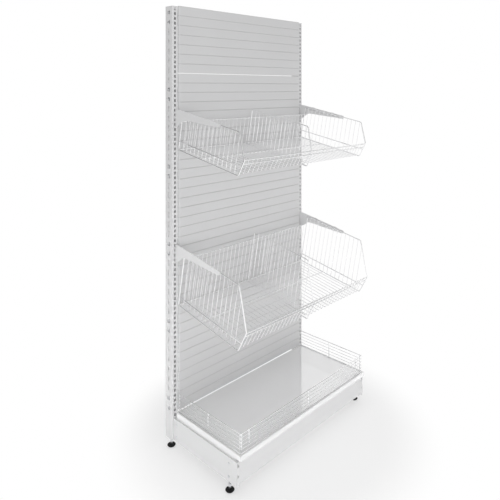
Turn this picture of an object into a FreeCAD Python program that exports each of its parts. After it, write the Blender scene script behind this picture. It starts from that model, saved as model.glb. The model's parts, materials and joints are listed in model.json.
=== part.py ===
import FreeCAD, Part
import math
import os

# Sloping-basket display bay for a shop wall: two slotted uprights, ribbed back panels, two wire
# baskets on hook-in brackets, and a low base deck with a wire fence. Millimetres, +Z up, the front
# faces -Y. The origin is on the floor, in the middle of the whole bay's box.

# Uprights
bay_pitch = 1000.0          # middle of one upright to middle of the other
upright_width = 35.0
upright_depth = 60.0
upright_wall = 2.5
upright_corner = 3.0
upright_length = 2239.0
ground_gap = 47.0           # floor to the underside of uprights and base legs
cap_thick = 2.0
cap_plug_depth = 15.0
cap_play = 0.15

# Slots for hooks, front and rear
slot_pitch = 25.0
slot_first = 12.5           # upright top to the middle of the first slot
slot_last_margin = 25.0     # least distance of a slot's middle from the upright's foot
slot_width = 10.0
slot_height = 15.0
slot_corner = 1.5

# Side slots, where two in every eight give way to the bolts of a tie bar
side_pitch = 50.0
side_first = 31.0
side_slot_width = 6.0
side_slot_height = 33.0
side_group = 8
bar_bolts = 2
tie_bar_count = 6

# Tie bars between the uprights
bar_setback = 2.0           # behind the uprights' front faces
bar_height = 74.0
bar_depth = 40.0
bar_sheet = 2.0
bar_bolt_size = 8.0
bar_head_size = 15.0
bar_head_hole = 22.0        # opening in the upright's outer side, round the head
bar_head_sink = 0.5         # head's end inside the upright's outer face
bar_nut_size = 14.0
bar_nut_thick = 6.0
bolt_play = 0.2             # on the radius, round every bolt

# Back panels, from the top down
panel_play = 1.0            # each side, between panel and upright
panel_proud = 10.0          # in front of the uprights' front faces
panel_sheet = 1.5
panel_bend = 8.0            # rounding of the upright edges
panel_rows = (350.0, 700.0, 700.0, 345.0)
panel_rise = 4.0            # top edge above the uprights' tops
panel_top_gap = 2.5         # added to the seam under the top panel, an open reveal
panel_seam = 1.0
groove_pitch = 50.0
groove_width = 6.0
groove_depth = 2.0
hanger_x = 300.0
hanger_width = 30.0
hanger_thick = 2.0
hanger_drop = 23.0
hanger_rise = 8.0
hanger_reach = 12.0
hanger_lip = 12.0
hanger_play = 1.0

# Base legs
leg_width = 16.0
leg_length = 478.0
leg_height = 111.0
leg_sheet = 2.0
leg_bolt_size = 6.0
leg_head_size = 12.0
leg_head_thick = 2.5
leg_bolt_rear = 25.0        # forward of the uprights
leg_bolt_setback = 56.0     # front bolts and foot, behind the leg's front
leg_bolt_low = 24.0         # above the leg's underside
leg_bolt_high = 84.0
leg_slot_width = 6.0
leg_slot_height = 14.0
leg_slot_low = 45.0
leg_slot_high = 93.0
block_length = 42.0         # hook block inside the leg's rear end
block_low = 8.0
block_high = 101.0
block_hook_thick = 4.0
block_hook_rows = (0, 2)    # hook slots used, counted up from the lowest

# Levelling feet
stud_size = 10.0
stud_play = 0.1
stud_low = 4.0              # lower end of the stud, inside the pad
stud_neck_size = 13.0
stud_neck_gap = 12.5        # neck's top below the leg, room to screw the foot up
stud_over = 1.0             # stud end above its nut
foot_nut_length = 26.0
foot_nut_thick = 7.0
foot_plate_thick = 10.0
pad_size = 43.0
pad_foot_size = 34.0
pad_rim = 6.0               # height where the pad is widest
pad_height = 11.0
pad_hub_size = 18.0
pad_fit = 0.05

# Deck
deck_play = 0.5             # each side, to the neighbouring bay's deck
deck_back = 14.0            # rear edge, forward of the uprights
deck_overhang = 16.0        # deck front past the legs' front
deck_rise = 32.0            # deck top above the leg's top
deck_sheet = 1.5
deck_nose = 25.0
deck_round = 2.0
skirt_setback = 18.0        # front end of the skirts, behind the legs' front
stiffener_count = 2
stiffener_width = 40.0
stiffener_drop = 24.0
stiffener_inset = 10.0

# Kick plate and its brackets
kick_play = 0.5
kick_sheet = 1.5
kick_depth = 18.0
kick_low = 8.0              # above the leg's underside
kick_top_gap = 2.0          # under the leg's top
kick_clip_play = 0.3
clip_thick = 2.0
clip_behind = 20.0          # clip's rear end behind the front bolts
clip_join = 24.0

# Fences
fence_height = 96.0
fence_post_size = 5.0
fence_wire_size = 3.0
fence_rail_size = 5.0       # lowest and top rows
fence_rows = 6
fence_inset = 11.0          # deck edge to the middle of a row wire
fence_low = 3.5             # deck top to the middle of the lowest row
fence_foot = 12.0           # post length below the deck's sheet
fence_play = 0.5
fence_corner_gap = 0.4
fence_back_inset = 7.0      # deck's rear edge to the rear posts
fence_front_inset = 20.0    # deck's front edge to the side fences' front posts
front_corner_inset = 5.0    # side posts' line to the front fence's end posts
front_second_inset = 52.0   # the same to its next posts
row_back_inset = 2.0        # deck's rear edge to the side rows' ends

# Brackets
bracket_thick = 3.0
bracket_offset = 2.5        # its middle, inward of the slot column's middle
bracket_above_slot = 29.5   # top edge above the middle of its first slot
bracket_flat = 28.0         # level stretch before the slope
bracket_reach = 350.0
bracket_tip = 18.0
bracket_throat = 70.0
bracket_depth = 44.0
bracket_root = 95.0
bracket_root_flat = 8.0
bracket_round = 6.0
bracket_flare = 60.0
bracket_hooks = 3
hook_depth = 4.0
hook_drop = 6.0
hook_rise = 7.5
hook_play = 0.15
hook_wall_play = 0.3
upper_hook_slot = 22
lower_hook_slot = 50

# Baskets
tilt_angle = 10.6           # floor slope down towards the front, degrees
basket_back = 18.0          # lower rear corner, forward of the uprights
floor_depth = 458.0
rail_size = 6.0
wire_size = 3.0
wire_pitch = 30.0
mid_rod_share = 0.39        # cross rod under the floor, as a share of its depth
low_rail = 45.0
lip_lean_angle = 18.5       # from the floor's normal, degrees
lip_rail_gap = 22.0
keel_bend = 12.0
hanger_hook_thick = 2.0
hanger_hook_width = 20.0
hanger_hook_play = 0.5
hanger_hook_places = (60.0, 215.0)      # along the side's top rail from its rear end
hanger_hook_inner = 14.0
hanger_hook_outer = 12.0
rest_rise = 6.5             # bracket edge above the middle of the side's top rail
upper_side_height = 200.0
upper_back_height = 150.0
upper_lip_length = 86.0
upper_top_setback = 27.0    # top rail's front end behind the floor's front
lower_side_height = 300.0
lower_back_height = 250.0
lower_lip_length = 112.0
lower_top_setback = 49.0

# Dividers
divider_rail = 5.0
divider_play = 0.3

# Cutting tools run this far past the faces they cut, and butted rails stay this far apart
past = 1.0
butt_play = 0.02

# Heights and planes that follow from the sizes above
axis_x = bay_pitch / 2
upright_top = ground_gap + upright_length
inner_x = axis_x - upright_width / 2
panel_top = upright_top + panel_rise
leg_top = ground_gap + leg_height
deck_top = leg_top + deck_rise
deck_front = leg_length + deck_overhang
leg_bolt_front = leg_length - leg_bolt_setback
slot_count = int((upright_length - slot_first - slot_last_margin) / slot_pitch) + 1
column_w = -upright_depth / 2
cos_t = math.cos(math.radians(tilt_angle))
sin_t = math.sin(math.radians(tilt_angle))
lean_s = math.sin(math.radians(lip_lean_angle))
lean_h = math.cos(math.radians(lip_lean_angle))
rail_r = rail_size / 2
wire_r = wire_size / 2
layer = rail_r + wire_r     # middle of a rail to the middle of a wire laid on it
bracket_inner = axis_x - bracket_offset - bracket_thick / 2
side_out = bracket_inner - hanger_hook_play - hanger_hook_thick
rail_x = side_out - rail_r
rod_x = rail_x - rail_r
floor_top = layer + wire_r


def slot_z(index):
    return upright_top - slot_first - index * slot_pitch


def bar_z(index):
    spread = (bar_bolts - 1) * side_pitch / 2
    return upright_top - side_first - spread - index * side_group * side_pitch


def bracket_top(hook_slot):
    return slot_z(hook_slot) + bracket_above_slot


# A basket's own frame: s runs forward along the floor from its rear edge, h stands square to it
class Basket:
    def __init__(self, hook_slot, side_height, back_height, lip_length, top_length):
        self.hook_slot = hook_slot
        self.side_height = side_height
        self.back_height = back_height
        self.lip_length = lip_length
        self.top_length = top_length
        self.edge = side_height + rest_rise
        along = (bracket_flat - basket_back - self.edge * sin_t) / cos_t
        self.back_z = bracket_top(hook_slot) - self.edge * cos_t + along * sin_t

    def forward(self, s, h):
        return basket_back + s * cos_t + h * sin_t

    def height(self, s, h):
        return self.back_z - s * sin_t + h * cos_t

    def point(self, x, s, h):
        return at(x, self.forward(s, h), self.height(s, h))

    # a point on the lip, up its slope and out from its rails' plane
    def lip(self, up, out):
        return floor_depth + up * lean_s + out * lean_h, up * lean_h - out * lean_s


baskets = {
    "upper": Basket(upper_hook_slot, upper_side_height, upper_back_height, upper_lip_length,
                    floor_depth - upper_top_setback),
    "lower": Basket(lower_hook_slot, lower_side_height, lower_back_height, lower_lip_length,
                    floor_depth - lower_top_setback),
}

# The foremost points are on the lips' top rails, the rearmost on the uprights' backs
front_reach = max(b.forward(*b.lip(b.lip_length, 0)) for b in baskets.values()) + rail_r
face_y = (front_reach - upright_depth) / 2


# x across, w forward of the uprights' front faces, z above the floor
def at(x, w, z):
    return FreeCAD.Vector(x, face_y - w, z)


def block(x0, x1, w0, w1, z0, z1):
    return Part.makeBox(x1 - x0, w1 - w0, z1 - z0, at(x0, w1, z0))


def rod(start, end, size):
    return Part.makeCylinder(size / 2, (end - start).Length, start, end - start)


def sideways_rod(x0, x1, w, z, size):
    return rod(at(x0, w, z), at(x1, w, z), size)


def upright_rod(x, w, z0, z1, size):
    return rod(at(x, w, z0), at(x, w, z1), size)


# prism of an outline of (w, z) points between two places across
def across(outline, x0, x1):
    corners = [at(x0, w, z) for w, z in outline]
    face = Part.Face(Part.makePolygon(corners + corners[:1]))
    return face.extrude(FreeCAD.Vector(x1 - x0, 0, 0))


def edges_along(shape, direction):
    found = []
    for edge in shape.Edges:
        if edge.Curve.TypeId == "Part::GeomLine":
            line = edge.Vertexes[-1].Point - edge.Vertexes[0].Point
            if abs(abs(line.normalize().dot(direction)) - 1) < 1e-6:
                found.append(edge)
    return found


# rounds the edges that run across at the given (w, z) corners
def round_corners(shape, corners, radius):
    picked = []
    for edge in edges_along(shape, FreeCAD.Vector(1, 0, 0)):
        place = edge.CenterOfMass
        for w, z in corners:
            spot = at(place.x, w, z)
            if (place - spot).Length < 1e-4:
                picked.append(edge)
    return shape.makeFillet(radius, picked)


def moved(shape, x, z):
    copy = shape.copy()
    copy.translate(FreeCAD.Vector(x, 0, z))
    return copy


def spaced(first, last, pitch):
    gaps = max(1, round((last - first) / pitch))
    return [first + (last - first) * i / gaps for i in range(gaps + 1)]


def mirrored_pair(x):
    return (-x, x)


# Upright: a box post with hook slots in front and behind, slots in both sides, and bolt openings on the
# outer side
def upright(sign):
    half = upright_width / 2
    middle = sign * axis_x
    tube = block(middle - half, middle + half, -upright_depth, 0, ground_gap, upright_top)
    tube = tube.makeFillet(upright_corner, edges_along(tube, FreeCAD.Vector(0, 0, 1)))
    hollow = block(middle - half + upright_wall, middle + half - upright_wall,
                   upright_wall - upright_depth, -upright_wall, ground_gap - past, upright_top + past)
    slot = block(middle - slot_width / 2, middle + slot_width / 2, -upright_depth - past, past,
                 -slot_height / 2, slot_height / 2)
    slot = slot.makeFillet(slot_corner, edges_along(slot, FreeCAD.Vector(0, 1, 0)))
    straight = (side_slot_height - side_slot_width) / 2
    side_slot = block(middle - half - past, middle + half + past, column_w - side_slot_width / 2,
                      column_w + side_slot_width / 2, -straight, straight)
    ends = [sideways_rod(middle - half - past, middle + half + past, column_w, z, side_slot_width)
            for z in (-straight, straight)]
    side_slot = side_slot.multiFuse(ends).removeSplitter()
    cuts = [moved(slot, 0, slot_z(i)) for i in range(slot_count)]
    for i in range((tie_bar_count - 1) * side_group + bar_bolts):
        if i % side_group >= bar_bolts:
            cuts.append(moved(side_slot, 0, upright_top - side_first - i * side_pitch))
    outer = middle + sign * half
    for z in bar_bolt_heights():
        cuts.append(sideways_rod(middle - half - past, middle + half + past, column_w, z,
                                 bar_bolt_size + 2 * bolt_play))
        cuts.append(sideways_rod(outer - sign * (upright_wall + past), outer + sign * past, column_w, z,
                                 bar_head_hole))
    return tube.cut(hollow).cut(Part.makeCompound(cuts))


def bar_bolt_heights():
    heights = []
    for i in range(tie_bar_count):
        for k in range(bar_bolts):
            heights.append(upright_top - side_first - (i * side_group + k) * side_pitch)
    return heights


def upright_cap(sign):
    half = upright_width / 2
    middle = sign * axis_x
    plate = block(middle - half, middle + half, -upright_depth, 0, upright_top, upright_top + cap_thick)
    plate = plate.makeFillet(upright_corner, edges_along(plate, FreeCAD.Vector(0, 0, 1)))
    inset = upright_wall + cap_play
    plug = block(middle - half + inset, middle + half - inset, inset - upright_depth, -inset,
                 upright_top - cap_plug_depth, upright_top)
    return plate.fuse(plug).removeSplitter()


# Tie bar: a folded pan, open at the back, with slots in its top for the panel hangers
def tie_bar(index):
    low = bar_z(index) - bar_height / 2
    high = bar_z(index) + bar_height / 2
    rear = -bar_setback - bar_depth
    pan = block(-inner_x, inner_x, rear, -bar_setback, low, high)
    hollow = block(-inner_x + bar_sheet, inner_x - bar_sheet, rear - past, -bar_setback - bar_sheet,
                   low + bar_sheet, high - bar_sheet)
    cuts = [hollow]
    for z in bar_bolt_heights()[index * bar_bolts:(index + 1) * bar_bolts]:
        cuts.append(sideways_rod(-inner_x - past, inner_x + past, column_w, z, bar_bolt_size + 2 * bolt_play))
    half = hanger_width / 2 + hanger_play
    for x in mirrored_pair(hanger_x):
        cuts.append(block(x - half, x + half, -hanger_reach - hanger_play,
                          hanger_thick - hanger_reach + hanger_play, high - bar_sheet - past, high + past))
    return pan.cut(Part.makeCompound(cuts))


# Bolt with a long head inside the upright, on its inner wall, and a shank through the tie bar's end
def bar_bolt(sign, z):
    seat = sign * (inner_x + upright_wall)
    crown = sign * (axis_x + upright_width / 2 - bar_head_sink)
    head = sideways_rod(seat, crown, column_w, z, bar_head_size)
    end = sign * (inner_x - bar_sheet - bar_nut_thick - past)
    shank = sideways_rod(end, seat, column_w, z, bar_bolt_size)
    return head.fuse(shank).removeSplitter()


def bar_nut(sign, z):
    seat = sign * (inner_x - bar_sheet)
    across_flats = bar_nut_size / math.cos(math.pi / 6) / 2
    outline = []
    for k in range(6):
        turn = math.pi / 3 * k
        outline.append((column_w + across_flats * math.cos(turn), z + across_flats * math.sin(turn)))
    nut = across(outline, seat, seat - sign * bar_nut_thick)
    bore = sideways_rod(seat + sign * past, seat - sign * (bar_nut_thick + past), column_w, z,
                        bar_bolt_size + 2 * pad_fit)
    return nut.cut(bore)


# Outline of a panel's front with its pressed grooves, from a rear plane to the front and back
def panel_outline(front, rear, low, high):
    outline = [(rear, high), (front, high)]
    steps = int(upright_length / groove_pitch)
    for i in range(1, steps):
        z = panel_top - i * groove_pitch
        if low + groove_width < z < high - groove_width:
            outline += [(front, z + groove_width / 2), (front - groove_depth, z),
                        (front, z - groove_width / 2)]
    return outline + [(front, low), (rear, low)]


# block with its upright front edges rounded
def panel_block(half, rear, front, low, high, bend):
    whole = block(-half, half, rear, front, low, high)
    face = at(0, front, 0).y
    edges = [edge for edge in edges_along(whole, FreeCAD.Vector(0, 0, 1))
             if abs(edge.CenterOfMass.y - face) < 1e-4]
    return whole.makeFillet(bend, edges)


def back_panel(index):
    high = panel_top - sum(panel_rows[:index])
    low = panel_top - sum(panel_rows[:index + 1])
    if index > 0:
        high -= panel_seam
    else:
        low += panel_top_gap
    half = inner_x - panel_play
    rear = -bar_setback
    skin = across(panel_outline(panel_proud, rear, low, high), -half, half)
    skin = skin.common(panel_block(half, rear, panel_proud, low, high, panel_bend))
    room = half - panel_sheet
    face = panel_proud - panel_sheet
    inner_low = low + panel_sheet
    inner_high = high - panel_sheet
    inside = across(panel_outline(face, rear - past, inner_low, inner_high), -room, room)
    rounded = panel_block(room, rear - past, face, inner_low, inner_high, panel_bend - panel_sheet)
    return skin.cut(inside.common(rounded))


# Strip on a panel's rear face that lies on a tie bar and drops into its slot
def panel_hanger(x, index):
    top = bar_z(index) + bar_height / 2
    face = panel_proud - panel_sheet
    strip = face - hanger_thick
    outline = [(strip, top - hanger_drop), (face, top - hanger_drop), (face, top + hanger_rise),
               (strip, top + hanger_rise), (strip, top + hanger_thick), (-hanger_reach, top + hanger_thick),
               (-hanger_reach, top - hanger_lip), (hanger_thick - hanger_reach, top - hanger_lip),
               (hanger_thick - hanger_reach, top), (strip, top)]
    return across(outline, x - hanger_width / 2, x + hanger_width / 2)


# Hook that passes a front slot and drops behind the upright's wall
def slot_hook(x0, x1, index):
    middle = slot_z(index)
    wall = -upright_wall - hook_wall_play
    low = middle - slot_height / 2 + hook_play
    top = low + hook_rise
    outline = [(0, top), (wall - hook_depth, top), (wall - hook_depth, low - hook_drop),
               (wall, low - hook_drop), (wall, low), (0, low)]
    return across(outline, x0, x1)


# Base leg: a narrow folded box, open below and behind, with slots in its front edge
def base_leg(sign):
    half = leg_width / 2
    middle = sign * axis_x
    shell = block(middle - half, middle + half, 0, leg_length, ground_gap, leg_top)
    hollow = block(middle - half + leg_sheet, middle + half - leg_sheet, -past, leg_length - leg_sheet,
                   ground_gap - past, leg_top - leg_sheet)
    cuts = [hollow]
    for rise in (leg_slot_low, leg_slot_high):
        z = ground_gap + rise
        cuts.append(block(middle - leg_slot_width / 2, middle + leg_slot_width / 2,
                          leg_length - leg_sheet - past, leg_length + past,
                          z - leg_slot_height / 2, z + leg_slot_height / 2))
    for w, z in leg_bolt_places():
        cuts.append(sideways_rod(middle - half - past, middle + half + past, w, z,
                                 leg_bolt_size + 2 * bolt_play))
    return shell.cut(Part.makeCompound(cuts))


def leg_bolt_places():
    places = []
    for w in (leg_bolt_rear, leg_bolt_front):
        for rise in (leg_bolt_low, leg_bolt_high):
            places.append((w, ground_gap + rise))
    return places


def leg_bolt(sign, w, z):
    seat = sign * (axis_x + leg_width / 2)
    head = sideways_rod(seat, seat + sign * leg_head_thick, w, z, leg_head_size)
    reach = leg_width if w == leg_bolt_rear else leg_width + clip_thick
    shank = sideways_rod(seat - sign * reach, seat, w, z, leg_bolt_size)
    return head.fuse(shank).removeSplitter()


# Hook block in the leg's rear end, which hangs the leg in the upright's lowest slots
def leg_hook_block(sign):
    half = leg_width / 2 - leg_sheet
    middle = sign * axis_x
    body = block(middle - half, middle + half, 0, block_length,
                 ground_gap + block_low, ground_gap + block_high)
    hook_half = block_hook_thick / 2
    hooks = [slot_hook(middle - hook_half, middle + hook_half, slot_count - 1 - i) for i in block_hook_rows]
    body = body.multiFuse(hooks).removeSplitter()
    bores = []
    for w, z in leg_bolt_places():
        if w == leg_bolt_rear:
            bores.append(sideways_rod(middle - half - past, middle + half + past, w, z,
                                      leg_bolt_size + 2 * bolt_play))
    return body.cut(Part.makeCompound(bores))


def stud_hole(x, w):
    return upright_rod(x, w, 0, leg_top, stud_size + 2 * stud_play)


def leg_foot_nut(sign):
    half = leg_width / 2 - leg_sheet
    middle = sign * axis_x
    nut = block(middle - half, middle + half, leg_bolt_front - foot_nut_length / 2,
                leg_bolt_front + foot_nut_length / 2, ground_gap, ground_gap + foot_nut_thick)
    return nut.cut(stud_hole(middle, leg_bolt_front))


def upright_foot_plate(sign):
    half = upright_width / 2 - upright_wall
    middle = sign * axis_x
    plate = block(middle - half, middle + half, upright_wall - upright_depth, -upright_wall,
                  ground_gap, ground_gap + foot_plate_thick)
    return plate.cut(stud_hole(middle, column_w))


def foot_stud(x, w, nut_thick):
    thread = upright_rod(x, w, stud_low, ground_gap + nut_thick + stud_over, stud_size)
    neck = upright_rod(x, w, pad_height, ground_gap - stud_neck_gap, stud_neck_size)
    return thread.fuse(neck).removeSplitter()


# Pad: a low button turned about the stud, widest at its rim, with a blind hole for the stud
def foot_pad(x, w):
    rim = pad_size / 2
    hub = pad_hub_size / 2
    foot = at(x, w, 0)
    sole = at(x + pad_foot_size / 2, w, 0)
    shoulder = at(x + rim, w, pad_rim)
    crest = at(x + hub, w, pad_height)
    drop = pad_height - pad_rim
    bulge = at(x + hub + (rim - hub) * math.sin(math.pi / 4), w, pad_rim + drop * math.sin(math.pi / 4))
    edges = [Part.makeLine(foot, sole), Part.makeLine(sole, shoulder),
             Part.Arc(shoulder, bulge, crest).toShape(), Part.makeLine(crest, at(x, w, pad_height)),
             Part.makeLine(at(x, w, pad_height), foot)]
    dome = Part.Face(Part.Wire(edges)).revolve(foot, FreeCAD.Vector(0, 0, 1), 360)
    return dome.cut(upright_rod(x, w, stud_low, pad_height + past, stud_size + 2 * pad_fit))


# Deck: a folded tray upside down, with side skirts on the legs and holes for the fence posts
def deck():
    half = axis_x - deck_play
    nose_low = deck_top - deck_nose
    tray = block(-half, half, deck_back, deck_front, nose_low, deck_top)
    top_edges = [e for e in tray.Edges
                 if e.CenterOfMass.z > deck_top - 1e-4 and e.CenterOfMass.y < face_y - deck_back - 1e-4]
    tray = tray.makeFillet(deck_round, top_edges)
    hollow = block(deck_sheet - half, half - deck_sheet, deck_back + deck_sheet, deck_front - deck_sheet,
                   nose_low - past, deck_top - deck_sheet)
    tray = tray.cut(hollow)
    skirts = []
    for sign in (-1, 1):
        ends = sorted((sign * half, sign * (half - deck_sheet)))
        skirts.append(block(ends[0], ends[1], deck_back, leg_length - skirt_setback, leg_top, nose_low))
    tray = tray.multiFuse(skirts).removeSplitter()
    holes = [upright_rod(x, w, nose_low, deck_top + past, fence_post_size + 2 * fence_play)
             for x, w in fence_post_places()]
    return tray.cut(Part.makeCompound(holes))


def stiffener_places():
    gap = (deck_front - deck_back) / (stiffener_count + 1)
    return [deck_back + gap * (i + 1) for i in range(stiffener_count)]


def deck_stiffener(w):
    half = axis_x - deck_play - deck_sheet - stiffener_inset
    under = deck_top - deck_sheet
    low = under - stiffener_drop
    channel = block(-half, half, w - stiffener_width / 2, w + stiffener_width / 2, low, under)
    hollow = block(-half - past, half + past, w - stiffener_width / 2 + deck_sheet,
                   w + stiffener_width / 2 - deck_sheet, low + deck_sheet, under + past)
    return channel.cut(hollow)


# Kick plate: a shallow pan between the legs, pushed over a clip at each end
def kick_plate():
    half = axis_x - leg_width / 2 - kick_play
    low = ground_gap + kick_low
    high = leg_top - kick_top_gap
    rear = leg_length - kick_depth
    pan = block(-half, half, rear, leg_length, low, high)
    hollow = block(kick_sheet - half, half - kick_sheet, rear - past, leg_length - kick_sheet,
                   low + kick_sheet, high - kick_sheet)
    return pan.cut(hollow)


def kick_clip(sign):
    leg_side = axis_x - leg_width / 2
    low = ground_gap + kick_low + kick_sheet + kick_clip_play
    high = leg_top - kick_top_gap - kick_sheet - kick_clip_play
    rear = leg_length - kick_depth
    join = rear - kick_clip_play
    tongue_out = leg_side - kick_play - kick_sheet - kick_clip_play
    tongue_in = tongue_out - clip_thick
    spans = ((leg_side - clip_thick, leg_side, leg_bolt_front - clip_behind, join),
             (tongue_in, leg_side - clip_thick, join - clip_join, join),
             (tongue_in, tongue_out, join, leg_length - kick_sheet - 2 * kick_clip_play))
    pieces = []
    for x0, x1, w0, w1 in spans:
        ends = sorted((sign * x0, sign * x1))
        pieces.append(block(ends[0], ends[1], w0, w1, low, high))
    clip = pieces[0].multiFuse(pieces[1:]).removeSplitter()
    bores = []
    for w, z in leg_bolt_places():
        if w == leg_bolt_front:
            bores.append(sideways_rod(sign * (tongue_in - past), sign * (leg_side + past), w, z,
                                      leg_bolt_size + 2 * bolt_play))
    return clip.cut(Part.makeCompound(bores))


# Fences: posts dropped into the deck's holes, with row wires on their outer side
row_x = axis_x - deck_play - fence_inset
row_w = deck_front - fence_inset
post_x = row_x - (fence_post_size + fence_wire_size) / 2
post_w = row_w - (fence_post_size + fence_wire_size) / 2
side_post_back = deck_back + fence_back_inset
side_post_front = deck_front - fence_front_inset
side_post_places = (side_post_back, (side_post_back + side_post_front) / 2, side_post_front)
front_corner_x = post_x - front_corner_inset
front_second_x = post_x - front_second_inset
front_post_places = (-front_corner_x, -front_second_x, 0.0, front_second_x, front_corner_x)


def fence_post_places():
    places = [(x, w) for x in mirrored_pair(post_x) for w in side_post_places]
    return places + [(x, post_w) for x in front_post_places]


# Each row's height, size and how far its middle lies outside that of the thin rows; the end rows are rails
def fence_row_wires():
    top = deck_top + fence_height - fence_rail_size / 2
    low = deck_top + fence_low
    gap = (top - low) / (fence_rows - 1)
    rail_out = (fence_rail_size - fence_wire_size) / 2
    thin = [(low + gap * i, fence_wire_size, 0.0) for i in range(1, fence_rows - 1)]
    return [(low, fence_rail_size, rail_out)] + thin + [(top, fence_rail_size, rail_out)]


def fence_post(x, w):
    return upright_rod(x, w, deck_top - deck_sheet - fence_foot, deck_top + fence_height, fence_post_size)


def side_fence(sign):
    front = row_w - fence_wire_size / 2 - fence_corner_gap
    wires = [fence_post(sign * post_x, w) for w in side_post_places]
    for z, size, out in fence_row_wires():
        x = sign * (row_x + out)
        wires.append(rod(at(x, deck_back + row_back_inset, z), at(x, front, z), size))
    return wires


def front_fence():
    wires = [fence_post(x, post_w) for x in front_post_places]
    end = row_x + fence_wire_size / 2
    for z, size, out in fence_row_wires():
        wires.append(sideways_rod(-end, end, row_w + out, z, size))
    return wires


# Bracket: a plate hooked in the slots, with a sloping top edge that the basket hangs on
def bracket(sign, hook_slot):
    top = bracket_top(hook_slot)
    slope = sin_t / cos_t
    tip_z = top - (bracket_reach - bracket_flat) * slope
    tip_low = (bracket_reach - bracket_tip * sin_t, tip_z - bracket_tip * cos_t)
    throat = (bracket_throat, top - (bracket_throat - bracket_flat) * slope - bracket_depth)
    outline = [(0, top), (bracket_flat, top), (bracket_reach, tip_z), tip_low, throat,
               (bracket_root_flat, top - bracket_root), (0, top - bracket_root)]
    middle = sign * (axis_x - bracket_offset)
    x0 = middle - bracket_thick / 2
    x1 = middle + bracket_thick / 2
    plate = across(outline, x0, x1)
    plate = round_corners(plate, [(bracket_reach, tip_z), tip_low], bracket_round)
    plate = round_corners(plate, [throat], bracket_flare)
    hooks = [slot_hook(x0, x1, hook_slot + i) for i in range(bracket_hooks)]
    return plate.multiFuse(hooks).removeSplitter()


# Upright mesh in the plane of a frame: a bent loop of rails with wires laid on one face between its ends.
# All corners are in the basket's (s, h); top is where the top rail turns down, lip where it meets the lip.
class SideMesh:
    def __init__(self, basket, x, out, rail, rear, low, top, foot, lip_up):
        self.basket = basket
        self.x = x
        self.out = out
        self.rail = rail
        self.rear = rear
        self.low = low
        self.top = top
        self.foot = foot
        self.lip = (foot + lip_up * lean_s, low + lip_up * lean_h)
        fall = (self.lip[0] - top[0], self.lip[1] - top[1])
        length = math.hypot(*fall)
        self.fall = (fall[0] / length, fall[1] / length)

    def bar(self, start, end, size, offset=0.0):
        x = self.x + self.out * offset
        return rod(self.basket.point(x, *start), self.basket.point(x, *end), size)

    # the frame's rails butt against each other, none crossing another
    def frame(self):
        r = self.rail / 2
        ds, dh = self.fall
        drop = r + r * abs(ds)
        turn = (self.top[0] + drop / abs(dh) * ds, self.top[1] - drop)
        rise = (r + r * lean_s) / lean_h
        shut = r * abs(lean_h * ds - lean_s * dh) / abs(lean_s * ds + lean_h * dh) + butt_play
        foot = (self.foot + rise * lean_s, self.low + rise * lean_h)
        head = (self.lip[0] - shut * lean_s, self.lip[1] - shut * lean_h)
        return [self.bar((self.rear - r, self.low), (self.foot + r, self.low), self.rail),
                self.bar((self.rear, self.low + r), (self.rear, self.top[1] - r), self.rail),
                self.bar((self.rear - r, self.top[1]), (turn[0] + r * abs(dh), self.top[1]), self.rail),
                self.bar(turn, self.lip, self.rail),
                self.bar(foot, head, self.rail)]

    # furthest forward that a level wire of radius r may go at height h inside the frame
    def front_limit(self, h, r):
        ds, dh = self.fall
        frame_r = self.rail / 2
        on_lip = self.foot + (h - r - self.low) * lean_s / lean_h - frame_r / lean_h
        on_fall = self.top[0] + (self.top[1] - h - r) * ds / abs(dh) - frame_r / abs(dh)
        return min(on_lip, on_fall) if h < self.lip[1] + r + frame_r else on_fall

    def row(self, h):
        start = self.rear + self.rail / 2
        return self.bar((start, h), (self.front_limit(h, self.rail / 2), h), self.rail)

    def wires(self):
        r = self.rail / 2
        ds, dh = self.fall
        found = []
        for s in spaced(self.rear, self.foot, wire_pitch)[1:-1]:
            high = self.top[1] + r
            if s > self.top[0]:
                high = min(high, self.top[1] - (s - self.top[0]) * abs(dh) / ds)
            found.append(self.bar((s, self.low - r), (s, high), wire_size, r + wire_r))
        return found


def basket_side(basket, sign):
    top = (basket.top_length, basket.side_height)
    mesh = SideMesh(basket, sign * rail_x, -sign, rail_size, 0.0, 0.0, top, floor_depth, basket.lip_length)
    return mesh.frame() + [mesh.row(low_rail)] + mesh.wires()


def cross_rod(basket, s, h, end=rod_x):
    return rod(basket.point(-end, s, h), basket.point(end, s, h), rail_size)


def mesh_places():
    return spaced(-rod_x, rod_x, wire_pitch)[1:-1]


# Keel: one rod under the middle of the floor, bent up in front of the lip's rails
def basket_keel(basket):
    out = rail_size
    turn = basket.lip((out * lean_s - rail_size) / lean_h, out)
    rear = basket.point(0, -rail_r, -rail_size)
    corner = basket.point(0, *turn)
    head = basket.point(0, *basket.lip(basket.lip_length - lip_rail_gap / 2, out))
    back = (rear - corner).normalize()
    ahead = (head - corner).normalize()
    half = back.getAngle(ahead) / 2
    start = corner + back * (keel_bend / math.tan(half))
    end = corner + ahead * (keel_bend / math.tan(half))
    middle = corner + (back + ahead).normalize() * (keel_bend / math.sin(half) - keel_bend)
    path = Part.Wire([Part.makeLine(rear, start), Part.Arc(start, middle, end).toShape(),
                      Part.makeLine(end, head)])
    ring = Part.Wire(Part.makeCircle(rail_r, rear, start - rear))
    return path.makePipeShell([ring], True, False)


# Rods across: at the floor's rear, under its middle, along the back's top, and a pair on the lip
def basket_frame(basket):
    rods = [cross_rod(basket, 0, 0), cross_rod(basket, 0, basket.back_height),
            cross_rod(basket, floor_depth * mid_rod_share, 0, rod_x - wire_size)]
    for up in (basket.lip_length, basket.lip_length - lip_rail_gap):
        rods.append(cross_rod(basket, *basket.lip(up, 0)))
    return rods + [basket_keel(basket)]


# Floor wires end under the lip's wires, which stand on them behind the lip's rails
def lip_foot(basket):
    return basket.lip((floor_top + butt_play + (wire_r - layer) * lean_s) / lean_h, -layer)


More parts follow.
